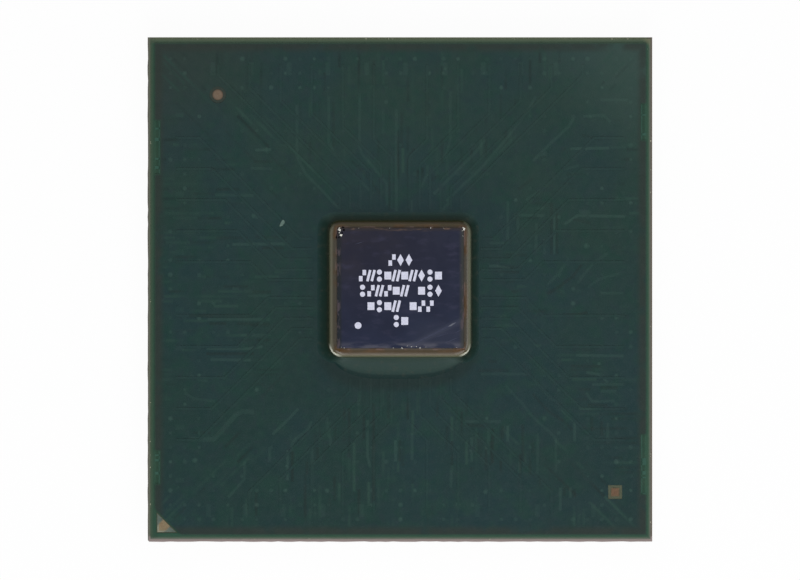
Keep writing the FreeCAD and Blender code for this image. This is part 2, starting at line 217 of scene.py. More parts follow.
def plane_share(finish, soft=0.09):
    """1 over the buried copper plane, 0 over the bare rim, the notches and the cut corner."""
    reach = abs(finish.x).above(abs(finish.y))
    share = 1 - reach.rise(PLANE_SHADE - soft, PLANE_SHADE + soft)
    cut_at = 2 * HALF_PLANE - PLANE_CORNER_CUT
    share = share * (1 - (0 - finish.x - finish.y).rise(cut_at - soft, cut_at + soft))
    deep_at = HALF_PLANE - NOTCH_DEPTH
    for side, middle, length in NOTCHES:
        deep = (side * finish.x).rise(deep_at - soft, deep_at + soft)
        tall = 1 - abs(finish.y - middle).rise(length / 2 - soft, length / 2 + soft)
        share = share * (1 - deep * tall)
    return share


STRIP_WIDE = 0.34
STRIP_LENGTH = 1.7
SLANTED_STRIP_LENGTH = 3.1
# Sine of 45 degrees.
SLANT = 0.7071


def strips(finish, across, along, length):
    """Strips side by side, cut at uneven places: about 1 for a pale one, -1 for a dark one, else 0."""
    column = across / STRIP_WIDE
    row = column.floor()
    offset = finish.flow("ShaderNodeTexWhiteNoise", {"W": row}, noise_dimensions="1D")
    cell = finish.vector(row, (along / length + offset * 9.0).floor())
    draw = finish.flow("ShaderNodeTexWhiteNoise", {"Vector": cell}, noise_dimensions="2D")
    middle = 1 - abs(column.fraction() - 0.5).rise(0.05, 0.5)
    return (draw.rise(0.75, 1.0) - (1 - draw.rise(0.0, 0.25))) * middle


def buried_tracks(finish):
    """Tracks that barely show, running away from the die: above 0 where pale, below 0 where dark."""
    x, y = finish.x, finish.y
    across, along = abs(x), abs(y)
    upright = strips(finish, x, y, STRIP_LENGTH)
    level = strips(finish, y, x, STRIP_LENGTH)
    rising = strips(finish, (x - y) * SLANT, (x + y) * SLANT, SLANTED_STRIP_LENGTH)
    falling = strips(finish, (x + y) * SLANT, (x - y) * SLANT, SLANTED_STRIP_LENGTH)
    straight = upright + (level - upright) * (across - along).rise(-1.0, 1.0)
    slanted = falling + (rising - falling) * (x * y).rise(-1.0, 1.0)
    slant = 1 - abs(across - along).rise(2.0, 3.5)
    crowd = finish.noise(0.3, 3.0, shift=(4, 1, 0)).rise(0.42, 0.62)
    return (straight + (slanted - straight) * slant) * crowd * across.above(along).rise(6.0, 8.5)


def past_tongue(across, down):
    """Below 1 inside the tongue and above 1 beyond it, with down measured from the die's front."""
    across = abs(across + TONGUE_SKEW * down) / TONGUE_HALF_WIDE
    return across ** 3.0 + (down / TONGUE_REACH) ** 2.2


def mask_finish(name):
    """Dark green mask over copper, clearer green at the bare rim, tinted by the tracks below it."""
    finish = Finish(name, IOR=1.5)
    x, y, noise = finish.x, finish.y, finish.noise
    reach = abs(x).above(abs(y))
    cloud = noise(0.16, 3.0).rise(0.36, 0.66)
    patch = noise(0.8, 4.0, shift=(7, 3, 0)).rise(0.45, 0.7)
    grainy = noise(1.7, 3.0, shift=(1, 8, 0)).rise(0.5, 0.75)
    brown = reach.rise(HALF_PLANE - 0.75, HALF_PLANE - 0.2) * noise(0.7).rise(0.2, 0.5)
    down = (DIE_LOW.y - y).above(0.0)
    shadow = (1 - past_tongue(x - DIE_MIDDLE.x, down).rise(1.2, 2.0)) * down.rise(0.0, 0.7)
    tracks = buried_tracks(finish)
    field = 1 - reach.rise(HALF_PLANE - 0.8, HALF_PLANE - 0.3)
    ridge = finish.z.rise(MASK_TOP + 0.004, MASK_TOP + 0.018) * 0.04
    tint = finish.attribute("tint")
    base = finish.coats(
        finish.blend(y.rise(-HALF_SIDE, HALF_SIDE), tone(31, 58, 55), tone(42, 63, 57)),
        ((1 - reach.rise(5.0, 9.0)) * 0.85, 30, 55, 53),
        (cloud * 0.45, 36, 57, 63), (patch * 0.65, 36, 63, 56), (grainy * 0.5, 40, 56, 58),
        ((y - x).rise(22.0, 32.0) * 0.6, 51, 61, 57), ((x - y).rise(22.0, 32.0) * 0.5, 32, 56, 54),
        ((x + y).rise(22.0, 35.0) * 0.85, 60, 80, 74), (brown * 0.75, 50, 57, 52),
        (shadow * 0.75, 27, 50, 48), (tracks.above(0.0) * field * 0.75, 47, 72, 64),
        ((0 - tracks).above(0.0) * field * 0.65, 31, 49, 47),
        ((ridge + tint).above(0.0), 70, 98, 88), ((0 - tint).above(0.0), 24, 42, 39))
    left, back = (0 - x).rise(HALF_PLANE - NOTCH_DEPTH, HALF_PLANE), y.rise(HALF_PLANE, HALF_PLANE + 0.1)
    rim = finish.coats(
        finish.blend(reach.rise(HALF_PLANE - 0.1, HALF_PLANE), tone(38, 66, 54), tone(48, 81, 66)),
        (reach.rise(HALF_PLANE + 0.1, HALF_PLANE + 0.3), 74, 92, 74),
        (left * 0.35, 34, 58, 46), (back * 0.7, 70, 82, 66),
        (y.rise(HALF_PLANE + 0.15, HALF_PLANE + 0.3) * 0.7, 92, 102, 82),
        # Palest along the outer front and right rim: the bare rim's own pale tone with painted light on top.
        ((0 - y).above(x).rise(HALF_PLANE + 0.18, HALF_PLANE + 0.36), 112, 114, 106),
        ((x + y).rise(34.0, 34.6) * 0.7, 128, 128, 100),
        (noise(1.6, 3.0, shift=(0, 9, 0)) * 0.4, 66, 84, 68))
    color = finish.blend(plane_share(finish), rim, base)
    return finish.done(color, 0.34 + 0.14 * noise(2.0, 3.0), noise(5.0, 4.0), 0.01)


def middle_gaps(finish, node):
    """How far a place is from the middle of a node, along x and along y."""
    low, high = node_box(node)
    return [abs(place - (low[axis] + high[axis]) / 2) for axis, place in enumerate((finish.x, finish.y))]


def round_gap(finish):
    """Distance of a place from the middle of the round mark."""
    x, y = middle_gaps(finish, "round_mark")
    return (x ** 2.0 + y ** 2.0) ** 0.5


def film_finish():
    """Build-up resin: pale tan where it is bare at the rim, paler still in front as painted light, dark
    inside the round window.
    """
    finish = Finish("buildup_resin", IOR=1.5)
    grain = finish.noise(2.4, 4.0)
    outward = (finish.y, 0 - finish.x, finish.x, 0 - finish.y)
    back, left, right, front = (place.rise(HALF_SIDE - 0.4, HALF_SIDE - 0.2) for place in outward)
    # The front strip is far paler than the other three: painted light on the front edge.
    color = finish.coats(
        finish.blend(grain, tone(72, 78, 60), tone(88, 92, 74)), (back, 96, 104, 82), (left, 94, 99, 84),
        (right, 100, 93, 82), (front, 140, 128, 123), (1 - round_gap(finish).rise(0.7, 0.9), 50, 60, 53))
    return finish.done(color, 0.5 + 0.2 * grain, grain, 0.01)


def laminate_finish():
    """Sawn edge of the core: glass cloth layers in tan resin."""
    finish = Finish("sawn_laminate", IOR=1.5)
    sockets = {"Vector": finish.place, "Scale": 2.2, "Distortion": 1.2, "Detail": 2.0, "Detail Scale": 1.5}
    layers = finish.flow("ShaderNodeTexWave", sockets, bands_direction="Z", wave_profile="SIN")
    fiber = finish.noise(5.0, 3.0, stretch=(0.35, 0.35, 6.0))
    color = finish.blend(layers, tone(116, 98, 66), tone(158, 142, 104))
    color = finish.coats(color, (fiber.rise(0.55, 0.7) * 0.5, 196, 184, 150))
    return finish.done(color, 0.55 + 0.25 * fiber, fiber, 0.02)


def metal_finish(name, light, dark, roughness, *fields):
    """Thin plated metal with handling stains; each field is how far it takes over, and its colour."""
    finish = Finish(name, Metallic=0.9)
    stain = finish.noise(3.2, 3.0).rise(0.35, 0.7)
    color = finish.blend(stain, tone(*light, 0), tone(*dark, 0))
    color = finish.coats(color, *((reach(finish), *channels) for reach, *channels in fields), sheen=0)
    return finish.done(color, roughness + 0.15 * stain, finish.noise(9.0, 3.0), 0.006)


def half_width(node):
    low, high = node_box(node)
    return (high.x - low.x) / 2


def round_edge(finish):
    """0 in the middle of the round mark, 1 at its rim."""
    return round_gap(finish).rise(0.24, half_width("round_mark") + 0.04)


def square_edge(finish):
    """0 in the middle of the square mark, 1 at its sides."""
    x, y = middle_gaps(finish, "square_mark")
    return x.above(y).rise(0.16, half_width("square_mark"))


CORNER_LOW = node_box("corner_mark")[0]


def corner_legs(finish):
    """1 along the two legs of the corner mark."""
    return 1 - (finish.x - CORNER_LOW.x).below(finish.y - CORNER_LOW.y).rise(0.06, 0.16)


def corner_tips(finish):
    """1 at the two tips of the corner mark."""
    return abs(finish.x - CORNER_LOW.x - finish.y + CORNER_LOW.y).rise(0.34, 0.6)


def silicon_finish():
    """Polished back of the die: violet near the back edge, bluer in front, paler at the front edge."""
    finish = Finish("polished_silicon", IOR=1.6)
    x, y, noise = finish.x, finish.y, finish.noise
    along, across = y.rise(DIE_LOW.y, DIE_HIGH.y), x.rise(DIE_LOW.x, DIE_HIGH.x)
    haze = noise(0.5, 3.0, shift=(2, 5, 0)).rise(0.35, 0.65)
    streak = noise(1.2, 4.0, stretch=(0.8, 1.8, 1)).rise(0.5, 0.8)
    # Paler along the front edge: partly wear, partly a painted highlight.
    front_wear_and_glint = (0 - y).rise(-DIE_LOW.y - 0.55, -DIE_LOW.y) * (0.55 + 0.45 * x.rise(-1.0, 0.6))
    front_wear_and_glint = front_wear_and_glint * noise(1.6, 4.0, stretch=(0.5, 1.6, 1)).rise(0.38, 0.62)
    start, end = Vector(LONG_SCRATCH[0]), Vector(LONG_SCRATCH[4])
    heading = (end - start).normalized()
    beside = abs((y - start.y) * heading.x - (x - start.x) * heading.y)
    smear = (1 - beside.rise(0.0, 0.34)) * x.rise(start.x - 0.3, start.x + 0.6)
    cloudy = x.rise(0.0, 2.0) * (0 - y).rise(1.6, 3.2)
    left = (0 - x).rise(-DIE_LOW.x - 0.4, -DIE_LOW.x - 0.15)
    right = x.rise(DIE_HIGH.x - 0.4, DIE_HIGH.x - 0.02)
    back = y.rise(DIE_HIGH.y - 0.3, DIE_HIGH.y - 0.02)
    sides = abs(x - DIE_MIDDLE.x).rise(HALF_DIE.x - 0.3, HALF_DIE.x - 0.1)
    scuff = noise(2.2, 3.0, stretch=(2.2, 0.7, 1), shift=(3, 3, 0)).rise(0.5, 0.62) * sides
    rub = noise(1.6, 3.0, stretch=(0.8, 2.5, 1), shift=(9, 2, 0)).rise(0.52, 0.64) * back
    color = finish.blend(along, tone(45, 50, 68, DIE_SHEEN), tone(49, 49, 60, DIE_SHEEN))
    color = finish.coats(
        color, (across * 0.5, 47, 53, 70), ((1 - across) * along * along * 0.7, 54, 51, 57),
        (haze * 0.55, 40, 43, 57), (streak * 0.5, 62, 62, 82), (front_wear_and_glint * 0.9, 104, 103, 112),
        (smear * 0.5, 72, 76, 90), (cloudy * 0.25, 70, 74, 88), (left * 0.75, 42, 46, 46),
        (right * 0.8, 66, 67, 62), (back * 0.7, 62, 56, 54), (scuff * 0.55, 96, 84, 88),
        (rub * 0.6, 112, 92, 78), sheen=DIE_SHEEN)
    return finish.done(color, 0.13 + 0.12 * streak, noise(2.0), 0.003)


def resin_finish(name, ior, sheen):
    """Underfill: brown at the die wall, tan on the bead, dark green moat and a paler tongue."""
    finish = Finish(name, IOR=ior)
    x, noise = finish.x, finish.noise
    reach, tongue = finish.attribute("reach"), finish.attribute("tongue")

    def ramp(*stops):
        return finish.ramp(reach, [(place, tone(*channels, sheen)) for place, *channels in stops])

    u = abs(x - DIE_MIDDLE.x) / HALF_DIE.x
    v = (finish.y - DIE_MIDDLE.y) / HALF_DIE.y
    front, back = (0 - u - v).rise(-0.12, 0.08), (v - u).rise(-0.12, 0.08)
    moat = ((0.53, 32, 43, 33), (0.6, 27, 44, 37), (0.76, 28, 46, 41), (0.88, 34, 53, 50), (1.0, 39, 60, 58))
    # Bead tones by side: the resin's own brown and tan, with painted light on the front crest and painted
    # shade at the back.
    side = ramp((0.0, 96, 90, 84), (0.06, 84, 79, 71), (0.2, 76, 73, 63), (0.34, 102, 99, 82),
                (0.42, 92, 93, 75), (0.47, 60, 64, 52), *moat)
    rear = ramp((0.0, 112, 103, 96), (0.08, 80, 71, 56), (0.18, 68, 59, 36), (0.36, 62, 53, 26),
                (0.45, 56, 58, 36), (0.53, 43, 55, 44), (0.6, 39, 54, 47), (0.74, 38, 56, 50),
                (0.86, 40, 60, 56), (1.0, 42, 64, 61))
    near = ramp((0.0, 124, 120, 116), (0.06, 88, 80, 70), (0.14, 72, 61, 43), (0.26, 68, 55, 30),
                (0.36, 78, 69, 44), (0.42, 90, 90, 68), (0.47, 58, 68, 56), *moat)
    pale = ramp((0.5, 36, 52, 45), (0.53, 46, 65, 58), (0.62, 48, 66, 62), (0.76, 45, 64, 59),
                (0.84, 38, 58, 54), (0.87, 26, 46, 44), (0.96, 26, 46, 44), (1.0, 31, 53, 51))
    # Painted highlight: near-white resin on the outer bead at its two front corners.
    corner = u.below(0 - v).rise(0.9, 1.06) * reach.rise(0.36, 0.41) * (1 - reach.rise(0.46, 0.49))
    # Painted highlight along the outer edge of the bead on the right side.
    right_rim_highlight = (x - DIE_MIDDLE.x).rise(HALF_DIE.x - 0.1, HALF_DIE.x + 0.1) * (1 - front)
    right_rim_highlight = right_rim_highlight * reach.rise(0.3, 0.4) * (1 - reach.rise(0.46, 0.5))
    rust = noise(0.5, shift=(5, 2, 0)).rise(0.48, 0.62) * (1 - reach.rise(0.16, 0.32))
    rub = noise(1.5, 3.0, stretch=(1, 0.6, 1), shift=(2, 6, 0)).rise(0.52, 0.64)
    grain = noise(2.5, 3.0)
    color = finish.blend(front, finish.blend(back, side, rear), near)
    color = finish.coats(color, (corner, 214, 214, 198), (right_rim_highlight * 0.4, 124, 128, 110), sheen=sheen)
    color = finish.coats(
        finish.blend(tongue * reach.rise(0.49, 0.51), color, pale), (rust * 0.55, 92, 66, 40),
        (rub * (1 - reach.rise(0.04, 0.16)) * 0.6, 128, 106, 100),
        (grain.rise(0.5, 0.8) * 0.12, 96, 84, 70), sheen=sheen)
    dull = 0.22 * front * (1 - u.rise(0.82, 1.0)) + 0.2 * back
    roughness = 0.16 + 0.16 * grain + 0.1 * reach.rise(0.48, 0.56) + dull
    return finish.done(color, roughness, noise(2.0, 3.0), 0.01)


def solder_finish():
    """Tin alloy after reflow, slightly grained."""
    finish = Finish("reflowed_solder", Metallic=1.0)
    grain = finish.flow("ShaderNodeTexVoronoi", {"Vector": finish.place, "Scale": 9.0})
    color = finish.blend(finish.noise(4.0, 3.0), tone(168, 168, 166), tone(206, 206, 202))
    return finish.done(color, 0.28 + 0.2 * grain, grain, 0.008)


def plain_finish(name, first, second, roughness, ior=1.5, sheen=SHEEN, per_mm=4.0, uneven=0.15,
                 depth=0.006):
    """Two close tones mixed by fine noise."""
    finish = Finish(name, IOR=ior)
    grain = finish.noise(per_mm, 3.0)
    color = finish.blend(grain, tone(*first, sheen), tone(*second, sheen))
    return finish.done(color, roughness + uneven * grain, grain, depth)


def link(piece):
    bpy.context.scene.collection.objects.link(piece)
    return piece


def join_frame(piece, slot, *replaced):
    """Carry a finished piece on the only body, and hide the nodes that it stands for."""
    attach(piece, "root")
    if replaced:
        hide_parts(*replaced)


def solid(name, corners, faces, material, smooth=False):
    """Mesh object from corners in millimetres."""
    mesh = bpy.data.meshes.new(name)
    mesh.from_pydata([Vector(corner) * MM for corner in corners], [], faces)
    mesh.materials.append(material)
    if smooth:
        mesh.shade_smooth()
    mesh.update()
    return link(bpy.data.objects.new(name, mesh))


def slabs(name, outlines, low, high, material, slot):
    """Piece of flat slabs in one mesh, each from an outline that runs counter-clockwise."""
    corners, faces = [], []
    for outline in outlines:
        first, count = len(corners), len(outline)
        corners += [(x, y, z) for z in (low, high) for x, y in outline]
        faces += [range(first + count - 1, first - 1, -1), range(first + count, first + 2 * count)]
        for index in range(count):
            here, there = first + index, first + (index + 1) % count
            faces.append([here, there, there + count, here + count])
    join_frame(solid(name, corners, faces, material), slot)


# Corners of a square about the origin, counter-clockwise.
SQUARE = ((1, -1), (1, 1), (-1, 1), (-1, -1))


def oblong(x, y, wide, tall, angle=0.0):
    """Outline of a turned rectangle about its middle."""
    turn = math.radians(angle)
    across = Vector((math.cos(turn), math.sin(turn))) * wide / 2
    along = Vector((-math.sin(turn), math.cos(turn))) * tall / 2
    return [Vector((x, y)) + across * right + along * back for right, back in SQUARE]


def regular(x, y, radius, sides):
    turns = [step * math.tau / sides for step in range(sides)]
    return [(x + radius * math.cos(turn), y + radius * math.sin(turn)) for turn in turns]


def mark_points(mesh, name, values):
    """Keep a named value on each corner of a mesh."""
    mesh.attributes.new(name, "FLOAT", "POINT").data.foreach_set("value", values)


def strong_points(name, places, edges, strengths):
    """Mesh of loose points in millimetres, joined by edges, that keep a strength each."""
    mesh = bpy.data.meshes.new(name)
    mesh.from_pydata([Vector(place) * MM for place in places], edges, [])
    mark_points(mesh, "strength", strengths)
    return mesh


class Growth(Graph):
    """A geometry tree that turns a seed mesh into a repeated form, with named sizes."""

    def __init__(self, name):
        super().__init__(bpy.data.node_groups.new(name, "GeometryNodeTree"))
        for way in ("INPUT", "OUTPUT"):
            self.tree.interface.new_socket("Geometry", in_out=way, socket_type="NodeSocketGeometry")
        self.identifiers = {}
        self.entry = self.tree.nodes.new("NodeGroupInput")
        self.seed = Flow(self, self.entry.outputs[0])
        self.x, self.y, self.z = self.split(self.step("InputPosition"))

    def size(self, name, kind="NodeSocketFloat"):
        """A named input of the tree."""
        made = self.tree.interface.new_socket(name, in_out="INPUT", socket_type=kind)
        self.identifiers[name] = made.identifier
        return Flow(self, self.entry.outputs[name])

    def sizes(self, *names):
        return [self.size(name) for name in names]

    def step(self, kind, sockets=None, **settings):
        return self.flow(f"GeometryNode{kind}", sockets, **settings)

    def store(self, geometry, name, value):
        """Geometry that keeps a named value on its points."""
        sockets = {"Geometry": geometry, "Name": name, "Value": value}
        return self.step("StoreNamedAttribute", sockets, data_type="FLOAT", domain="POINT")

    def tinted(self, geometry, across):
        """Geometry whose tint is the strength of its seed times the value kept across its form."""
        strength, share = (self.step("InputNamedAttribute", {"Name": name}, data_type="FLOAT")
                           for name in ("strength", across))
        return self.store(geometry, "tint", strength * share)

    def random(self, low, high, seed):
        sockets = {2: low, 3: high, "Seed": seed}
        return self.flow("FunctionNodeRandomValue", sockets, output=1, data_type="FLOAT")

    def scatter(self, points, form, **sockets):
        """The form as an instance on each point."""
        return self.step("InstanceOnPoints", {0: points, "Instance": form, **sockets})

    def grow(self, name, result, material, sizes, seed=None, smooth=False):
        """Run the tree once and keep the result as a plain mesh. Whole numbers in sizes are counts."""
        result = self.step("RealizeInstances", {0: result})
        result = self.step("SetShadeSmooth", {0: result, "Shade Smooth": smooth})
        result = self.step("SetMaterial", {0: result, "Material": material})
        self.node("NodeGroupOutput", {0: result})
        holder = link(bpy.data.objects.new(f"{name}_seed", seed or bpy.data.meshes.new(f"{name}_seed")))
        modifier = holder.modifiers.new("growth", "NODES")
        modifier.node_group = self.tree
        for key, value in sizes.items():
            modifier[self.identifiers[key]] = value * MM if isinstance(value, float) else value
        graph = bpy.context.evaluated_depsgraph_get()
        mesh = bpy.data.meshes.new_from_object(holder.evaluated_get(graph))
        bpy.data.objects.remove(holder)
        return link(bpy.data.objects.new(name, mesh))


GRID_PITCH = 1.0
BALL_GRID = {"Columns": round(2 * (HALF_SIDE - GRID_PITCH) / GRID_PITCH) + 1, "Pitch": GRID_PITCH,
             "Outer rows": 4, "Center rows": 12}
BALL_WIDE = 0.6


def grid_points(growth):
    """Square grid of points about the origin, at one height, then its columns and its pitch."""
    columns = growth.size("Columns", "NodeSocketInt")
    pitch, level = growth.sizes("Pitch", "Level")
    side = (columns - 1) * pitch
    sockets = {"Size X": side, "Size Y": side, "Vertices X": columns, "Vertices Y": columns}
    grid = growth.step("MeshGrid", sockets)
    return growth.step("Transform", {0: grid, "Translation": growth.vector(z=level)}), columns, pitch


def ball_places(growth):
    """Grid of ball places with the bare square between the outer rows and the centre block removed."""
    points, columns, pitch = grid_points(growth)
    outer, center = growth.sizes("Outer rows", "Center rows")
    reach = abs(growth.x).above(abs(growth.y)) / pitch
    bare = (reach < columns / 2 - outer) * (reach > center / 2)
    return growth.step("DeleteGeometry", {0: points, 1: bare}, domain="POINT")


def make_balls(material):
    """Reflowed balls: round below the equator, flatter where they wet their lands."""
    growth = Growth("solder_ball_grid")
    wide, tall = growth.sizes("Ball width", "Ball height")
    ball = growth.step("MeshUVSphere", {"Segments": 12, "Rings": 8, "Radius": wide / 2})
    squash, lift = growth.vector(1.0, 1.0, tall / wide), growth.vector(z=tall / 2)
    ball = growth.step("Transform", {0: ball, "Translation": lift, "Scale": squash})
    turn, share = growth.random(0.0, math.tau, 4), growth.random(0.96, 1.0, 9)
    balls = growth.scatter(ball_places(growth), ball, Rotation=growth.vector(z=turn),
                           Scale=growth.vector(share, share, 1.0))
    sizes = {**BALL_GRID, "Level": 0.0, "Ball width": BALL_WIDE, "Ball height": MASK_UNDER + 0.02}
    balls = growth.grow("solder_balls", balls, material, sizes, smooth=True)
    join_frame(balls, "solder", "corner_balls", "outer_balls", "center_balls")


def make_ball_windows(material):
    """Lip of the mask window round the foot of each ball."""
    growth = Growth("ball_window_grid")
    reach, thick = growth.sizes("Ring reach", "Ring thickness")
    circle, section = (growth.step("CurvePrimitiveCircle", {"Resolution": corners, "Radius": radius})
                       for corners, radius in ((12, reach), (3, thick)))
    rings = growth.scatter(ball_places(growth), growth.step("CurveToMesh", {0: circle, 1: section}))
    sizes = {**BALL_GRID, "Level": MASK_UNDER, "Ring reach": 0.285, "Ring thickness": 0.018}
    join_frame(growth.grow("ball_mask_windows", rings, material, sizes), "solder_mask")


VIA_LEVEL = MASK_TOP - 0.001
VIA_REACH = 0.22
VIA_RIM_FROM = 13.5
VIA_COLUMNS = round(2 * (HALF_SIDE - 1.5) / GRID_PITCH) + 1
RESIN_CLEAR = 1.0
VIA_KINDS = (
    # strength, share in the rows near the rim, share in the field
    (0.28, 0.12, 0.015),
    (0.16, 0.18, 0.05),
    (0.08, 0.2, 0.14),
)
# Via caps that stand alone beside the grid.
LONE_VIAS = ((-10.2, 5.1), (8.0, 6.2), (12.9, 3.0), (-9.3, 9.7), (3.1, 15.3), (5.8, 15.0), (13.2, 12.0),
             (12.9, 9.8), (-7.9, -12.3), (4.9, -11.2), (5.9, -14.1), (-14.3, -11.9), (-5.1, -14.0),
             (13.8, -5.2))
LONE_STRENGTH = 0.28


def via_caps(growth, points):
    """Low blunt cone on each point, tinted in its middle by the strength kept on the point."""
    reach, thick = growth.sizes("Cap reach", "Cap thickness")
    sockets = {"Vertices": 10, "Radius Top": reach * 0.3, "Radius Bottom": reach, "Depth": thick}
    cone = growth.store(growth.step("MeshCone", sockets, fill_type="NGON"), "middle", growth.z > thick / 2)
    share = growth.random(0.75, 1.2, 12)
    caps = growth.scatter(points, cone, Scale=growth.vector(share, share, 1.0))
    return growth.tinted(growth.step("RealizeInstances", {0: caps}), "middle")


def make_grid_vias(material):
    """Via caps that show through the mask on some places of the ball grid, most of them near the rim."""
    growth = Growth("via_grid")
    x, y = growth.x, growth.y
    points = grid_points(growth)[0]
    rim = abs(x).above(abs(y)) > growth.size("Rim from")
    draw = growth.random(0.0, 1.0, 31)
    strength, rim_sum, field_sum = 0.0, 0.0, 0.0
    weaker = [kind[0] for kind in VIA_KINDS[1:]] + [0.0]
    for (given, rim_share, field_share), below in zip(VIA_KINDS, weaker):
        rim_sum, field_sum = rim_sum + rim_share, field_sum + field_share
        chosen = draw < rim * (rim_sum - field_sum) + field_sum
        strength = chosen * (given - below) + strength
    points = growth.store(points, "strength", strength)
    resin = 1.0
    for place, low, high in ((x, RESIN_LOW.x, RESIN_HIGH.x), (y, RESIN_LOW.y, RESIN_HIGH.y)):
        resin = (place > (low - RESIN_CLEAR) * MM) * (place < (high + RESIN_CLEAR) * MM) * resin
    gone = resin + (1 - chosen)
    for mark in ("round_mark", "square_mark"):
        low, high = node_box(mark)
        middle = (low + high) / 2 * MM
        gone = gone + (abs(x - middle.x).above(abs(y - middle.y)) < (high.x - low.x) * MM)
    points = growth.step("DeleteGeometry", {0: points, 1: gone > 0.5}, domain="POINT")
    sizes = {"Pitch": GRID_PITCH, "Level": VIA_LEVEL, "Columns": VIA_COLUMNS, "Rim from": VIA_RIM_FROM,
             "Cap reach": VIA_REACH, "Cap thickness": 0.003}
    join_frame(growth.grow("grid_vias", via_caps(growth, points), material, sizes), "solder_mask")


def make_lone_vias(material):
    """Via caps off the grid, each on its own place."""
    places = [(x, y, VIA_LEVEL) for x, y in LONE_VIAS]
    seed = strong_points("lone_via_places", places, [], [LONE_STRENGTH] * len(places))
    growth = Growth("lone_via_group")
    caps = via_caps(growth, growth.seed)
    sizes = {"Cap reach": VIA_REACH, "Cap thickness": 0.004}
    join_frame(growth.grow("lone_vias", caps, material, sizes, seed), "solder_mask")


